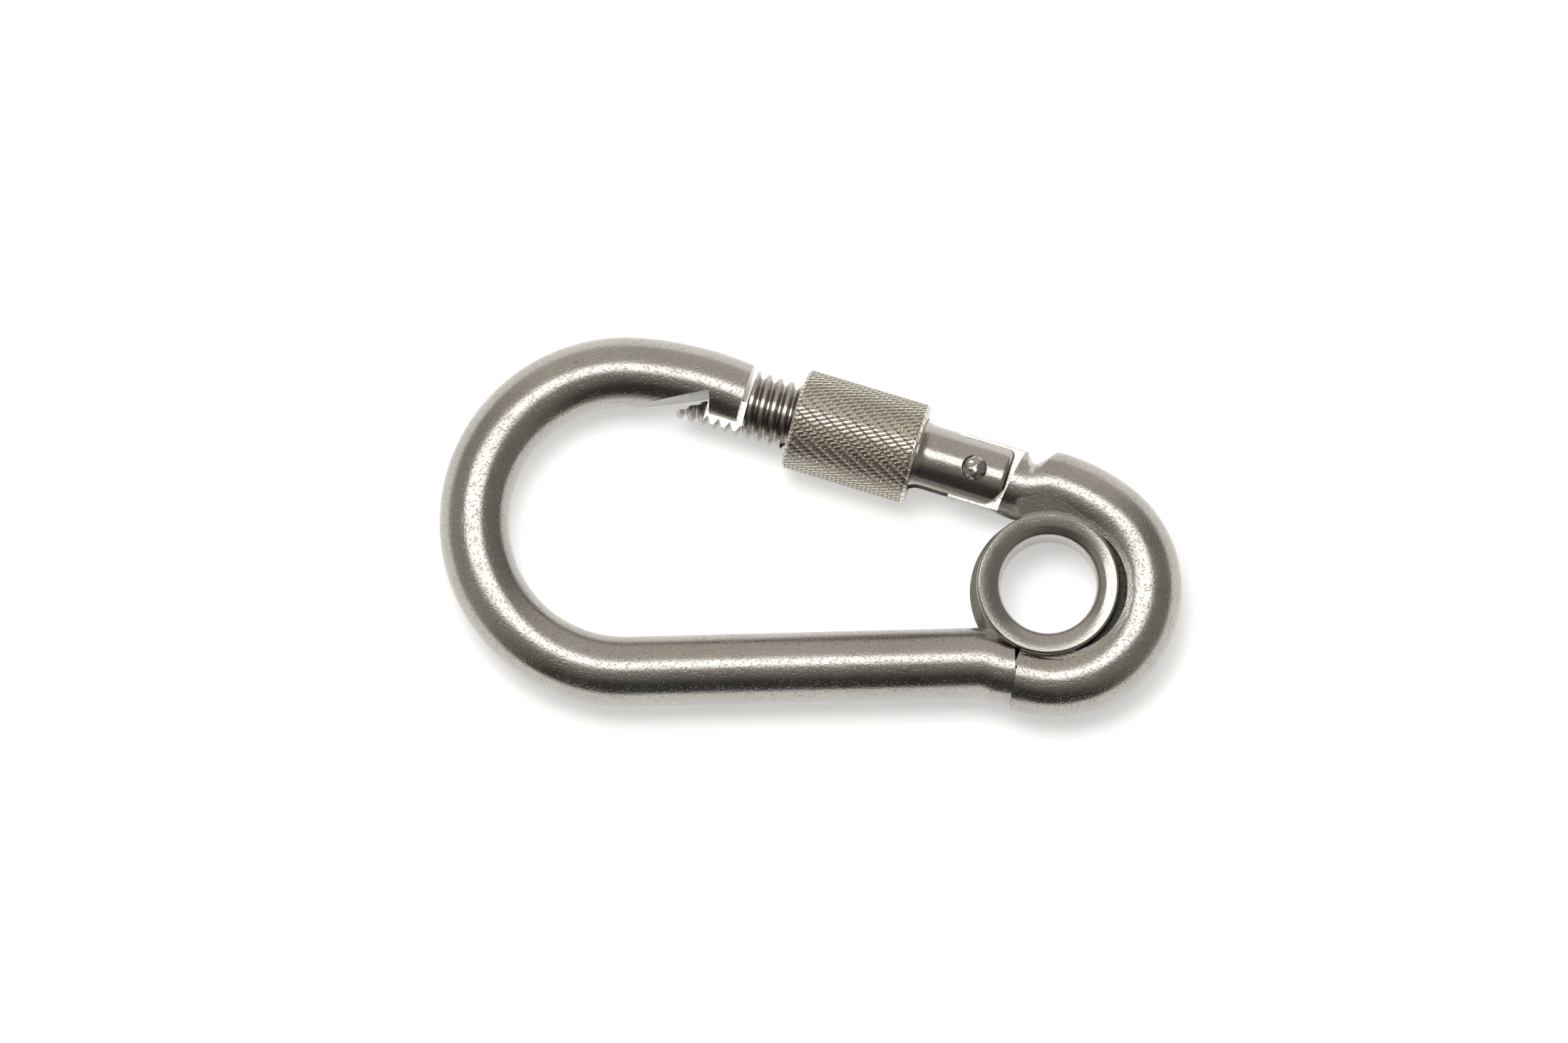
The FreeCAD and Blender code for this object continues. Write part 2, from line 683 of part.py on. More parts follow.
def make_lock_sleeve():
    """The knurled nut that screws along the gate and over the nose."""
    body = new_body("lock_sleeve", in_gate_frame=True)
    profile = new_sketch(body, "sleeve_profile")
    start = "({sleeve_start} + {rim_width} + {rim_gap})"
    outline(profile, (start, "{hinge_counterbore}"), [
        ("{sleeve_thread_start}", "{hinge_counterbore}"),
        ("{sleeve_thread_start}", "{sleeve_minor}"),
        ("{sleeve_thread_end}", "{sleeve_minor}"),
        ("{sleeve_thread_end}", "{nose_counterbore}"),
        ("{sleeve_end}", "{nose_counterbore}"),
        ("{sleeve_end}", "{sleeve_radius} - {sleeve_bevel}"),
        ("{sleeve_end} - {sleeve_bevel}", "{sleeve_radius}"),
        (start, "{sleeve_radius}"),
        (start, "{hinge_counterbore}"),
    ])
    turn(body, profile, "sleeve_tube")

    groove = new_sketch(body, "sleeve_groove_profile")
    spread = "({groove_mouth} - {groove_floor}) / 2 / ({thread_major} - {thread_minor})"
    middle = "({thread_start} - {thread_run_out} - {thread_pitch} / 2)"
    lip = "({sleeve_minor} - {thread_lip})"
    half = "({thread_pitch} / 2 + {thread_play} - {groove_floor} / 2 - (%s - {thread_minor}) * %s)"
    wide, narrow = half % (lip, spread), half % ("{sleeve_major}", spread)
    outline(groove, (f"{middle} - {wide}", lip), [
        (f"{middle} + {wide}", lip),
        (f"{middle} + {narrow}", "{sleeve_major}"),
        (f"{middle} - {narrow}", "{sleeve_major}"),
        (f"{middle} - {wide}", lip),
    ])
    helix(body, groove, "sleeve_thread", "{sleeve_thread_end} - {sleeve_thread_start} + 2 * {thread_pitch}")
    return body


def make_eyelet():
    """The grooved ring held in the eye: dished flanges front and back, the rear one the larger."""
    body = new_body("eyelet")
    profile = new_sketch(body, "eyelet_profile", plane="XZ_Plane")
    root = "sqrt({eyelet_saddle}^2 - ({eyelet_saddle_centre} - %s)^2)"
    outline(profile, ("{eyelet_bore}", "-{rear_face} + {rear_dish} + {mouth_depth}"), [
        ("{eyelet_mouth}", "-{rear_face} + {rear_dish}", "{mouth_curve}", 1),
        ("{rear_rim} - {rear_land}", "-{rear_face}"),
        ("{rear_rim} - {rear_chamfer}", "-{rear_face}"),
        ("{rear_rim}", "-{rear_face} + {rear_chamfer}"),
        ("{rear_rim}", "-" + root % "{rear_rim}"),
        ("{front_rim}", root % "{front_rim}", "{eyelet_saddle}", -1),
        ("{front_rim}", "{front_face} - {rim_rounding}"),
        ("{front_rim} - {rim_rounding}", "{front_face}", "{rim_rounding}", 1),
        ("{eyelet_mouth}", "{front_face} - {front_dish}", "{face_curve}", 1),
        ("{eyelet_bore}", "{front_face} - {front_dish} - {mouth_depth}", "{mouth_curve}", 1),
        ("{eyelet_bore}", "-{rear_face} + {rear_dish} + {mouth_depth}"),
    ])
    turn(body, profile, "eyelet_ring", axis="V_Axis")
    return body


PIECES = [
    make_hook_frame(),
    make_gate(),
    make_rivet(),
    make_plunger(),
    make_spring(),
    make_sleeve_rim(),
    make_lock_sleeve(),
    make_eyelet(),
]
doc.recompute()

failed = [thing.Label for thing in doc.Objects if {"Invalid", "Error"} & set(thing.State)]
if failed:
    raise RuntimeError("these objects failed: " + ", ".join(failed))
for piece in PIECES:
    shape = piece.Shape
    if shape.isNull() or not shape.isValid() or len(shape.Solids) != 1:
        raise RuntimeError(f"{piece.Label} isn't one valid solid")

os.makedirs("parts", exist_ok=True)
for piece in PIECES:
    piece.Shape.exportStep(f"parts/{piece.Label}.step")
    print(f"{piece.Label}: {piece.Shape.Volume:.1f} mm3")
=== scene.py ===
"""The looks of a screw-lock snap hook: satin steel, a knurled lock sleeve, soft studio light."""

import json
import math

import bpy
from mathutils import Matrix, Vector


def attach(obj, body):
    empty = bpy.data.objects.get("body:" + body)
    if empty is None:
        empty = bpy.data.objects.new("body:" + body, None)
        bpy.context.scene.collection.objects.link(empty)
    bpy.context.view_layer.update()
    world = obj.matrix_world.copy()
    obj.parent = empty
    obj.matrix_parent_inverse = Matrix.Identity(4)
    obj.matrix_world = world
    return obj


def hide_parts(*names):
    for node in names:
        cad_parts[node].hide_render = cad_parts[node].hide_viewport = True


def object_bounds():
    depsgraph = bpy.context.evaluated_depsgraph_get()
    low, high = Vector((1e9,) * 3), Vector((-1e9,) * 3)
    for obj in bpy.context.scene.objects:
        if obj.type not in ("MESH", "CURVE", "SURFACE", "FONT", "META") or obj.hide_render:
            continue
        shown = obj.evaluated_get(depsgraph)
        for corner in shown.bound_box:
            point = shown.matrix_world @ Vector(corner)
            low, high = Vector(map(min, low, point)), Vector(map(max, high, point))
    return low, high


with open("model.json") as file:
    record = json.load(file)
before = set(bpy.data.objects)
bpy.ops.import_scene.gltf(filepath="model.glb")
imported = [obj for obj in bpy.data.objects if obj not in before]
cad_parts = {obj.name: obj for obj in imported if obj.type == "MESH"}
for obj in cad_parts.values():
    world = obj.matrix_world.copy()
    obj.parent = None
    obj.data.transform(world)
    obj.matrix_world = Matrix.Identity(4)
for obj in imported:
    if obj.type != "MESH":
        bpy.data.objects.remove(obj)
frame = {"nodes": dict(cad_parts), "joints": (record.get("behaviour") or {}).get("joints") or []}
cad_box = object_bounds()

MM = 0.001

# the gate's frame: x along the gate towards the nose, y inwards to the loop, z up,
# with the hinge pin at its origin
JOINTS = {joint["name"]: joint for joint in frame["joints"]}
GATE_X = Vector(JOINTS["sleeve_spin"]["axis"]).normalized()
GATE_Z = Vector((0, 0, 1))
GATE_Y = GATE_Z.cross(GATE_X)
HINGE = Vector(JOINTS["gate_swing"]["pos_m"])


# ---------------------------------------------------------------- the knurled lock sleeve

# all in millimetres, in the gate's frame
SLEEVE_START = 6.86
SLEEVE_END = 20.15
SLEEVE_RADIUS = 5.49
SLEEVE_BEVEL = 0.28
HINGE_COUNTERBORE = 4.1
NOSE_COUNTERBORE = 4.75

# the female thread: where it begins and ends, and its ridge's section
THREAD_START = 8.0
THREAD_END = 16.0
THREAD_PITCH = 1.25
RIDGE_CENTRE = 7.9
RIDGE_TOP_RADIUS = 3.25
RIDGE_ROOT_RADIUS = 3.84
RIDGE_TOP_HALF = 0.076
RIDGE_ROOT_HALF = 0.405

# the knurl: a groove's flank that rises by more than 1 leaves a level crest between two grooves
FINE_GROOVES = 65
FINE_DEPTH = 0.215
FLANK_RISE = 1.5
COARSE_RIDGES = 32
COARSE_SPACING = 2 * math.pi * SLEEVE_RADIUS / COARSE_RIDGES
COARSE_HALF_WIDTH = 0.17
COARSE_SLOPE = math.tan(math.radians(31))

# the mesh: rings of columns, fine outside, with a third of them in the bore
STEPS_PER_GROOVE = 6
COLUMNS = FINE_GROOVES * STEPS_PER_GROOVE
COLUMNS_PER_BORE_COLUMN = 3
BORE_COLUMNS = COLUMNS // COLUMNS_PER_BORE_COLUMN
KNURL_ROWS = 150
THREAD_ROWS = 80
SHARP_ANGLE = math.radians(35)
# the fine grooves turn by this many columns from end to end, so the two ends meet the bore's columns
TWIST_COLUMNS = 75


def sawtooth(phase):
    """0 at whole numbers, rising evenly to 1 halfway between them."""
    return 1 - abs(2 * (phase % 1) - 1)


def knurl_radius(angle, x, fine_phase):
    """The sleeve's outer radius: fine grooves that run out towards a sparse set of crossing ridges."""
    fine = FINE_DEPTH * (1 - min(1, FLANK_RISE * sawtooth(fine_phase)))
    coarse_phase = (angle * SLEEVE_RADIUS - x * COARSE_SLOPE) / COARSE_SPACING
    away = sawtooth(coarse_phase) / 2 * COARSE_SPACING
    return SLEEVE_RADIUS - fine * min(1, away / COARSE_HALF_WIDTH)


def bore_thread_radius(angle, x):
    """The radius of the sleeve's female thread."""
    turn = (x - RIDGE_CENTRE) / THREAD_PITCH - angle / (2 * math.pi)
    away = abs((turn + 0.5) % 1 - 0.5) * THREAD_PITCH
    share = (away - RIDGE_TOP_HALF) / (RIDGE_ROOT_HALF - RIDGE_TOP_HALF)
    return RIDGE_TOP_RADIUS + (RIDGE_ROOT_RADIUS - RIDGE_TOP_RADIUS) * min(1, max(0, share))


def gate_point(x, radius, angle):
    """A point of a turned shape about the gate's axis, in the row's frame and in metres."""
    across = GATE_Y * math.cos(angle) + GATE_Z * math.sin(angle)
    return HINGE + (GATE_X * x + across * radius) * MM


def add_ring(points, columns, x, radius_of, turn=0.0):
    """Add a ring of points and return the number of its first one."""
    first = len(points)
    for column in range(columns):
        angle = 2 * math.pi * column / columns + turn
        points.append(gate_point(x, radius_of(angle, column), angle))
    return first


def join_rings(faces, rings, columns):
    """Join each ring to the next one with four-sided faces."""
    for first, second in zip(rings, rings[1:]):
        for column in range(columns):
            after = (column + 1) % columns
            faces.append((second + column, second + after, first + after, first + column))


def join_to_bore(faces, outer, bore, shift, flip):
    """Close the gap between a fine outer ring and the bore's coarser ring."""
    for column in range(BORE_COLUMNS):
        start = COLUMNS_PER_BORE_COLUMN * column + shift
        near = [outer + (start + step) % COLUMNS for step in range(COLUMNS_PER_BORE_COLUMN + 1)]
        left = bore + column
        right = bore + (column + 1) % BORE_COLUMNS
        for face in ((near[0], near[1], left), (near[1], near[2], right, left),
                     (near[2], near[3], right)):
            faces.append(face[::-1] if flip else face)


def add_knurl(points, faces):
    """Add the knurled outside and its bevel; return the rings at the hinge end and the nose end."""
    knurl_end = SLEEVE_END - SLEEVE_BEVEL
    full_turn = -2 * math.pi * TWIST_COLUMNS / COLUMNS
    rings = []
    for row in range(KNURL_ROWS + 1):
        share = row / KNURL_ROWS
        x = SLEEVE_START + (knurl_end - SLEEVE_START) * share
        rings.append(add_ring(points, COLUMNS, x, lambda angle, column: knurl_radius(
            angle, x, column / STEPS_PER_GROOVE), full_turn * share))
    rings.append(add_ring(points, COLUMNS, SLEEVE_END, lambda angle, column: SLEEVE_RADIUS
                          - SLEEVE_BEVEL, full_turn))
    join_rings(faces, rings, COLUMNS)
    return rings[0], rings[-1]


def add_bore(points, faces):
    """Add the threaded bore and its counterbores; return the rings at the nose end and the hinge end."""
    stations = [(SLEEVE_END, NOSE_COUNTERBORE), (THREAD_END, NOSE_COUNTERBORE)]
    for row in range(THREAD_ROWS + 1):
        stations.append((THREAD_END + (THREAD_START - THREAD_END) * row / THREAD_ROWS, None))
    stations += [(THREAD_START, HINGE_COUNTERBORE), (SLEEVE_START, HINGE_COUNTERBORE)]
    rings = []
    for x, radius in stations:
        rings.append(add_ring(points, BORE_COLUMNS, x, lambda angle, column: radius
                              or bore_thread_radius(angle, x)))
    join_rings(faces, rings, BORE_COLUMNS)
    return rings[0], rings[-1]


def make_sleeve():
    """One closed skin: knurled outside, bevelled nose end, two counterbores and a threaded bore."""
    points = []
    faces = []
    outer_hinge_end, outer_nose_end = add_knurl(points, faces)
    bore_nose_end, bore_hinge_end = add_bore(points, faces)
    join_to_bore(faces, outer_nose_end, bore_nose_end, TWIST_COLUMNS, flip=True)
    join_to_bore(faces, outer_hinge_end, bore_hinge_end, 0, flip=False)

    mesh = bpy.data.meshes.new("knurled_sleeve")
    mesh.from_pydata(points, [], faces)
    mesh.validate()
    mesh.shade_smooth()
    mesh.set_sharp_from_angle(angle=SHARP_ANGLE)
    sleeve = bpy.data.objects.new("knurled_sleeve", mesh)
    bpy.context.scene.collection.objects.link(sleeve)
    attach(sleeve, "sleeve")
    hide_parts("lock_sleeve")
    return sleeve


# ---------------------------------------------------------------- steel

# colours of the worn bar, the brighter sleeve and the parts inside
BAR_COLOR = (0.425, 0.405, 0.375)
SLEEVE_COLOR = (0.66, 0.62, 0.555)
INNER_COLOR = (0.36, 0.35, 0.34)

# a noise seldom leaves this range
NOISE_LOW = 0.3
NOISE_HIGH = 0.7

# tones: a cloud's darkest and lightest, a speck's strength, the painted shade that darkens a pit,
# and the noise from its rim to its floor
CLOUD_DARK = 0.93
CLOUD_LIGHT = 1.05
SPECK_TONE = 0.06
PIT_PAINTED_SHADE = 0.18
PIT_RIM = 0.59
PIT_FLOOR = 0.67

# how much smoother and rougher the polish gets in patches
POLISH_SMOOTHER = 0.04
POLISH_ROUGHER = 0.05

# sizes of the patterns, in millimetres
CLOUD_SIZE = 6.0
POLISH_SIZE = 2.5
WAVE_SIZE = 1.6
DENT_SIZE = 0.8
SPECK_SIZE = 0.3
PIT_SIZE = 0.26
FINE_SIZE = 0.25

# heights of the unevenness, in millimetres
FINE_HEIGHT = 0.012
WAVE_HEIGHT = 0.004
PIT_DEPTH = 0.008
GRAIN_HEIGHT = 0.004

# level faces: how upright a normal has to be, how far from the middle plane they lie at most, how
# bright they are (partly a machined finish, partly painted highlight), and how dark the painted
# shade on the hollow's floor is, which ends this far from the eyelet's axis
LEVEL_START = 0.98
LEVEL_FULL = 0.995
CUT_HEIGHT = 3.3
CUT_FINISH_AND_SHEEN = 1.6
HOLLOW_REACH = 8.7
HOLLOW_PAINTED_SHADE = 0.06
CUT_BLEND = 0.1

# the eyelet's faces, in millimetres from its axis, and how far they fall for each millimetre along X
ROUNDING_START = 6.3
ROUNDING_END = 7.5
ROUNDING_DROP = 0.14
LIP_RADIUS = 5.42
LIP_HALF_WIDTH = 0.13
LIP_HEIGHT = 0.07
FACE_LEAN = 0.07

# the crests of the sparse ridges: half a width as a share of their spacing, and a height in mm
CREST_HALF_WIDTH = 0.13
CREST_HEIGHT = 0.09

# marks across the eyelet's flanges: how many to a radian, and how long they are in millimetres
MARKS_PER_RADIAN = 55.0
MARK_LENGTH = 4


class Nodes:
    """Short words for building a node tree."""

    def __init__(self, tree):
        self.tree = tree

    def add(self, kind, inputs=(), **settings):
        """Add a node. Each input is another node's output or a plain value."""
        node = self.tree.nodes.new(kind)
        for name, setting in settings.items():
            setattr(node, name, setting)
        for name, source in dict(inputs).items():
            if isinstance(source, bpy.types.NodeSocket):
                self.tree.links.new(source, node.inputs[name])
            else:
                node.inputs[name].default_value = source
        return node

    def place(self):
        """Object coordinates in metres."""
        return self.add("ShaderNodeTexCoord").outputs["Object"]

    def parts(self, vector):
        """The outputs X, Y and Z of a vector."""
        return self.add("ShaderNodeSeparateXYZ", {"Vector": vector}).outputs

    def math(self, operation, first, second=0.0):
        """A sum, product or the like of two numbers."""
        return self.add("ShaderNodeMath", {0: first, 1: second}, operation=operation).outputs["Value"]

    def ramp(self, source, low, high, dark, light, blend="LINEAR"):
        """Map a value from low..high to dark..light."""
        return self.add("ShaderNodeMapRange", {
            "Value": source, "From Min": low, "From Max": high, "To Min": dark, "To Max": light,
        }, interpolation_type=blend).outputs["Result"]

    def noise(self, place, size_mm, detail=2.0, roughness=0.5):
        """A smooth noise of about 0..1."""
        return self.add("ShaderNodeTexNoise", {
            "Vector": place, "Scale": 1 / size_mm, "Detail": detail, "Roughness": roughness,
        }).outputs["Fac"]

    def spread(self, noise, dark, light):
        """Map a noise's usual range to dark..light."""
        return self.ramp(noise, NOISE_LOW, NOISE_HIGH, dark, light)

    def tint(self, color, tone):
        """A colour times a tone."""
        return self.add("ShaderNodeVectorMath", {0: color, "Scale": tone},
                        operation="SCALE").outputs["Vector"]


def place_mm(nodes, stretch=(1, 1, 1), turn=0.0):
    """Object coordinates in millimetres, turned about z and stretched."""
    mapping = nodes.add("ShaderNodeMapping", {"Vector": nodes.place()})
    mapping.inputs["Rotation"].default_value = (0, 0, turn)
    mapping.inputs["Scale"].default_value = [share / MM for share in stretch]
    return mapping.outputs["Vector"]


def steel(name, color=BAR_COLOR, roughness=0.21, pits=1.3, dents=0.0, grain=None,
          grain_strength=0.15, relief=None):
    """Satin stainless steel: cloudy polish, tiny pits darkened with painted shade, level flats made
    bright partly for a machined finish and partly as painted highlight, painted shade on the floor of
    the eye's hollow, and optional marks.

    dents is a height in millimetres, pits scales the pits and the fine unevenness, grain makes the
    coordinates of fine marks, and relief makes a height in millimetres.
    """
    material = bpy.data.materials.new(name)
    material.use_nodes = True
    tree = material.node_tree
    nodes = Nodes(tree)
    shader = tree.nodes["Principled BSDF"]
    where = place_mm(nodes)

    cloud = nodes.noise(where, CLOUD_SIZE, detail=3.0)
    speck = nodes.noise(where, SPECK_SIZE, detail=3.0, roughness=0.7)
    pit = nodes.ramp(nodes.noise(where, PIT_SIZE, detail=1.0), PIT_RIM, PIT_FLOOR, 0.0, 1.0)
    tone = nodes.math("ADD", nodes.spread(cloud, CLOUD_DARK, CLOUD_LIGHT),
                      nodes.spread(speck, -SPECK_TONE, SPECK_TONE))
    # painted light: level cut faces brightened (partly machined finish, partly painted highlight), and
    # the floor of the eye's hollow darkened as painted shade
    tone = nodes.math("MULTIPLY", tone, flat_sheen_and_shade(nodes))
    # painted shade: each pit's colour is darkened
    tone = nodes.math("MULTIPLY", tone, nodes.ramp(pit, 0.0, 1.0, 1.0, 1 - PIT_PAINTED_SHADE * pits))
    tree.links.new(nodes.tint(color, tone), shader.inputs["Base Color"])
    shader.inputs["Metallic"].default_value = 1.0

    polish = nodes.spread(nodes.noise(where, POLISH_SIZE, detail=4.0),
                          roughness - POLISH_SMOOTHER, roughness + POLISH_ROUGHER)
    tree.links.new(polish, shader.inputs["Roughness"])

    layers = [
        (nodes.noise(where, FINE_SIZE, detail=3.0, roughness=0.6), FINE_HEIGHT * pits),
        (nodes.noise(where, WAVE_SIZE, detail=1.0), WAVE_HEIGHT),
        (pit, -PIT_DEPTH * pits),
    ]
    if dents:
        layers.append((nodes.noise(where, DENT_SIZE, detail=0.0), dents))
    if relief is not None:
        layers.append((relief(nodes), 1.0))
    if grain is not None:
        marks = nodes.noise(grain(nodes), 1.0, detail=3.0, roughness=0.7)
        layers.append((marks, GRAIN_HEIGHT * grain_strength))
    height = 0.0
    for layer, scale in layers:
        height = nodes.math("ADD", height, nodes.math("MULTIPLY", layer, scale))
    bump = nodes.add("ShaderNodeBump", {"Height": height, "Strength": 1.0, "Distance": MM})
    tree.links.new(bump.outputs["Normal"], shader.inputs["Normal"])
    return material


def flat_sheen_and_shade(nodes):
    """Brightens the level faces cut into the steel, partly for their machined finish and partly as
    painted highlight, and darkens the floor of the eye's hollow with painted shade.
    """
    where = nodes.add("ShaderNodeTexCoord").outputs
    level = nodes.math("ABSOLUTE", nodes.parts(where["Normal"])["Z"])
    height = nodes.math("ABSOLUTE", nodes.parts(where["Object"])["Z"])
    flat = nodes.ramp(level, LEVEL_START, LEVEL_FULL, 0.0, 1.0)
    inside = nodes.ramp(height, CUT_HEIGHT * MM, (CUT_HEIGHT + CUT_BLEND) * MM, 1.0, 0.0)
    # the level faces' tone: painted shade on the hollow's floor, and elsewhere a brighter machined
    # finish plus painted highlight
    level_sheen_and_shade = nodes.ramp(distance_from_bore(nodes), HOLLOW_REACH * MM,
                          (HOLLOW_REACH + CUT_BLEND) * MM, HOLLOW_PAINTED_SHADE, CUT_FINISH_AND_SHEEN)
    return nodes.ramp(nodes.math("MULTIPLY", flat, inside), 0.0, 1.0, 1.0, level_sheen_and_shade)


def distance_from_bore(nodes):
    """How far a point is from the eyelet's axis, in metres."""
    flattened = nodes.add("ShaderNodeVectorMath", {0: nodes.place(), 1: (1, 1, 0)},
                          operation="MULTIPLY").outputs["Vector"]
    return nodes.add("ShaderNodeVectorMath", {0: flattened}, operation="LENGTH").outputs["Value"]


def eyelet_relief(nodes):
    """Height in millimetres: a rounded outer half, a thin lip at the bore, faces out of level."""
    radius = nodes.math("DIVIDE", distance_from_bore(nodes), MM)
    rounding = nodes.ramp(radius, ROUNDING_START, ROUNDING_END, 0.0, -ROUNDING_DROP)
    from_lip = nodes.math("ABSOLUTE", nodes.math("SUBTRACT", radius, LIP_RADIUS))
    lip = nodes.ramp(from_lip, 0.0, LIP_HALF_WIDTH, LIP_HEIGHT, 0.0)
    lean = nodes.math("MULTIPLY", nodes.parts(nodes.place())["X"], -FACE_LEAN / MM)
    return nodes.math("ADD", nodes.math("ADD", rounding, lip), lean)


def knurl_relief(nodes):
    """The height in millimetres of the rounded crests along the sleeve's sparse ridges."""
    arm = nodes.add("ShaderNodeVectorMath", {0: nodes.place(), 1: HINGE},
                    operation="SUBTRACT").outputs["Vector"]
    x, y, z = (nodes.add("ShaderNodeVectorMath", {0: arm, 1: axis},
                         operation="DOT_PRODUCT").outputs["Value"]
               for axis in (GATE_X / MM, GATE_Y, GATE_Z))
    around = nodes.math("MULTIPLY", nodes.math("ARCTAN2", z, y), SLEEVE_RADIUS)
    along = nodes.math("MULTIPLY", x, COARSE_SLOPE)
    phase = nodes.math("DIVIDE", nodes.math("SUBTRACT", around, along), COARSE_SPACING)
    away = nodes.math("ABSOLUTE", nodes.math("SUBTRACT", phase, nodes.math("ROUND", phase)))
    return nodes.ramp(away, 0.0, CREST_HALF_WIDTH, CREST_HEIGHT, 0.0, blend="SMOOTHSTEP")


def turned_marks(nodes):
    """Fine marks that run across the eyelet's flanges, from its bore outwards."""
    part = nodes.parts(nodes.place())
    angle = nodes.math("ARCTAN2", part["Y"], part["X"])
    return nodes.add("ShaderNodeCombineXYZ", {
        "X": nodes.math("MULTIPLY", angle, MARKS_PER_RADIAN),
        "Y": nodes.math("DIVIDE", distance_from_bore(nodes), MARK_LENGTH * MM),
        "Z": nodes.math("DIVIDE", part["Z"], MARK_LENGTH * MM),
    }).outputs["Vector"]


def gate_marks(nodes):
    """Turning marks round the gate."""
    return place_mm(nodes, stretch=(6, 0.6, 0.6), turn=math.atan2(GATE_X.y, -GATE_X.x))


def paint(obj, material):
    """Give a piece one material all over."""
    if not obj.data.materials:
        obj.data.materials.append(material)
    for slot in obj.material_slots:
        slot.material = material


def paint_everything(sleeve):
    """Make the steels and put them on the carried-over nodes and the new sleeve."""
    nodes = frame["nodes"]
    bar = steel("bar_steel")
    gate = steel("gate_steel", roughness=0.19, pits=0.7, grain=gate_marks)
    knurl = steel("sleeve_steel", color=SLEEVE_COLOR, roughness=0.17, pits=0.4, relief=knurl_relief)
    ring = steel("eyelet_steel", roughness=0.2, pits=0.5, grain=turned_marks, grain_strength=0.35,
                 relief=eyelet_relief)
    pin = steel("rivet_steel", roughness=0.18, pits=0.4, dents=0.35)
    inner = steel("inner_steel", color=INNER_COLOR, roughness=0.3)
    for name, material in {
        "hook_frame": bar, "gate": gate, "hinge_rivet": pin, "spring_plunger": inner,
        "gate_spring": inner, "sleeve_rim": knurl, "lock_sleeve": knurl, "eyelet": ring,
    }.items():
        paint(nodes[name], material)
    paint(sleeve, knurl)


# ---------------------------------------------------------------- studio

def make_floor():
    """A wide pale floor that the sleeve, the hook's thickest part, rests on."""
    gap = 0.02 * MM
    half_width = 1.5
    white = 0.9
    glow = 0.38
    low = cad_box[0].z - gap
    corners = [(-half_width, -half_width, low), (half_width, -half_width, low),
               (half_width, half_width, low), (-half_width, half_width, low)]
    mesh = bpy.data.meshes.new("floor")
    mesh.from_pydata(corners, [], [(0, 1, 2, 3)])
    floor = bpy.data.objects.new("floor", mesh)
    bpy.context.scene.collection.objects.link(floor)
    material = bpy.data.materials.new("floor_white")
    material.use_nodes = True
    shader = material.node_tree.nodes["Principled BSDF"]
    shader.inputs["Base Color"].default_value = (white, white, white, 1)
    shader.inputs["Roughness"].default_value = 0.8
    shader.inputs["Emission Color"].default_value = (1, 1, 1, 1)
    shader.inputs["Emission Strength"].default_value = glow
    paint(floor, material)


def softbox(name, lean_x, lean_y, distance, half_x, half_y, strength):
    """An area light overhead, out of the camera's sight.

    Its middle leans by two angles towards +X and +Y, and it spans two half angles.
    """
    direction = Vector((math.tan(math.radians(lean_x)), math.tan(math.radians(lean_y)), 1))
    direction.normalize()
    across = (Vector((1, 0, 0)) - direction * direction.x).normalized()
    along = direction.cross(across)
    light = bpy.data.lights.new(name, "AREA")
    light.shape = "RECTANGLE"
    light.size = 2 * distance * math.tan(math.radians(half_x))
    light.size_y = 2 * distance * math.tan(math.radians(half_y))
    light.energy = strength * light.size * light.size_y * math.pi
    box = bpy.data.objects.new(name, light)
    middle = (cad_box[0] + cad_box[1]) / 2
    place = Matrix((across, along, direction)).transposed().to_4x4()
    box.matrix_world = Matrix.Translation(middle + direction * distance) @ place
    box.visible_camera = False
    bpy.context.scene.collection.objects.link(box)
    return box


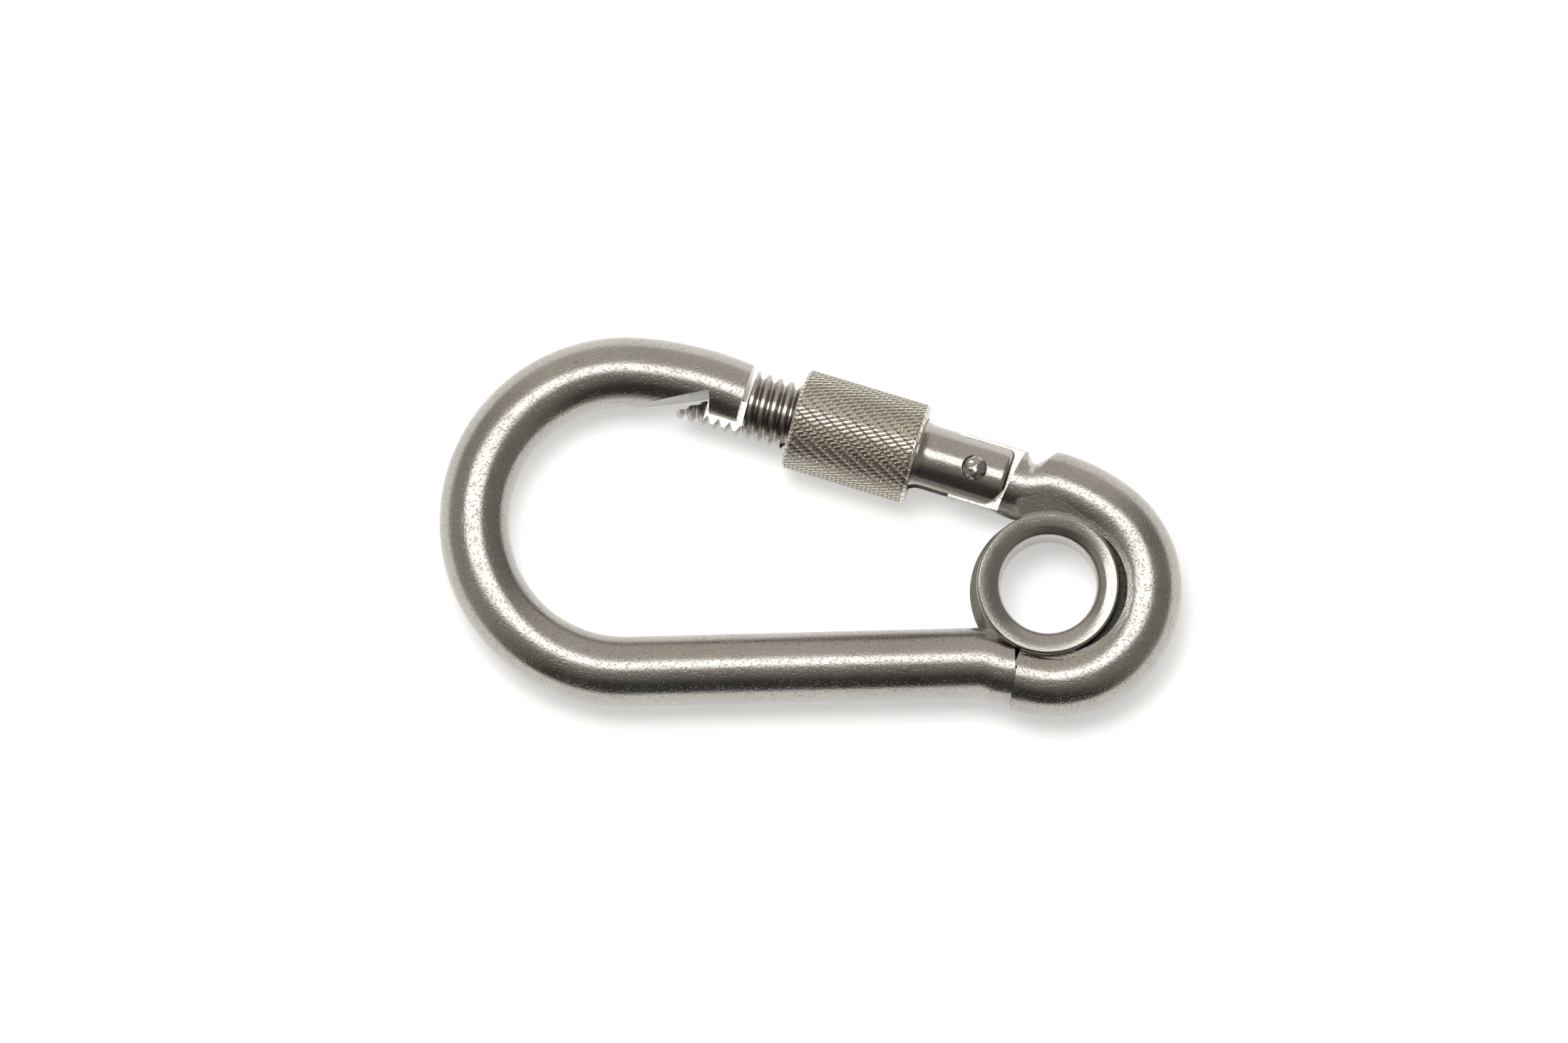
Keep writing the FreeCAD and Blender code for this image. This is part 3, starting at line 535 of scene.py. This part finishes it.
def make_world():
    """A grey room with a white board beyond the gate's side and a dark one behind the spine.

    Each board is a wedge of directions, which narrows by its slope away from its middle.
    """
    tone_at_low_x = 0.42
    tone_at_high_x = 0.26
    white_slope = 0.8
    white_tone = 0.68
    dark_middle_x = -0.3
    dark_slope = 0.35
    dark_share = 0.15
    warmth = (1.05, 1.0, 0.92)

    world = bpy.data.worlds.new("studio")
    world.use_nodes = True
    bpy.context.scene.world = world
    nodes = Nodes(world.node_tree)
    part = nodes.parts(nodes.add("ShaderNodeTexCoord").outputs["Generated"])
    room = nodes.ramp(part["X"], -1.0, 1.0, tone_at_low_x, tone_at_high_x)

    sideways = nodes.math("MULTIPLY", nodes.math("ABSOLUTE", part["X"]), white_slope)
    white_board = nodes.ramp(nodes.math("SUBTRACT", part["Y"], sideways), 0.05, 0.45, 0.0, 1.0)

    off_middle = nodes.math("ABSOLUTE", nodes.math("SUBTRACT", part["X"], dark_middle_x))
    aside = nodes.math("MULTIPLY", off_middle, -dark_slope)
    dark_board = nodes.ramp(nodes.math("SUBTRACT", aside, part["Y"]), 0.2, 0.7, 1.0, dark_share)

    shaded = nodes.math("MULTIPLY", room, dark_board)
    lift = nodes.math("MULTIPLY", nodes.math("SUBTRACT", white_tone, shaded), white_board)
    tone = nodes.math("ADD", shaded, lift)
    background = world.node_tree.nodes["Background"]
    world.node_tree.links.new(nodes.tint(warmth, tone), background.inputs["Color"])
    background.inputs["Strength"].default_value = 1.0


def make_camera():
    """Looks almost straight down on the hook from far off, a little from the spine's side."""
    target = Vector((-28.3, 7.9, 0)) * MM
    distance = 1600 * MM
    field = 169 * MM
    tilt = math.radians(7.8)
    lean = math.radians(1.2)
    roll = math.radians(1.45)
    film_width = 36
    nearest = 0.01
    farthest = 20
    back = Vector((math.tan(lean), -math.tan(tilt), 1)).normalized()
    level = (Vector((1, 0, 0)) - back * back.x).normalized()
    upright = back.cross(level)
    right = level * math.cos(roll) - upright * math.sin(roll)
    up = level * math.sin(roll) + upright * math.cos(roll)
    camera = bpy.data.cameras.new("camera")
    camera.sensor_width = film_width
    camera.lens = film_width * distance / field
    camera.clip_start = nearest
    camera.clip_end = farthest
    view = bpy.data.objects.new("camera", camera)
    turn = Matrix((right, up, back)).transposed().to_4x4()
    view.matrix_world = Matrix.Translation(target + back * distance) @ turn
    bpy.context.scene.collection.objects.link(view)
    bpy.context.scene.camera = view


knurled_sleeve = make_sleeve()
paint_everything(knurled_sleeve)
make_camera()
make_floor()
make_world()
softbox("key", lean_x=-5, lean_y=10, distance=0.75, half_x=26, half_y=12, strength=2.5)
floor_light = softbox("floor_light", lean_x=-7, lean_y=14, distance=0.75, half_x=11, half_y=11,
                      strength=7.5)
floor_light.visible_glossy = False
bpy.context.scene.view_settings.view_transform = "Standard"
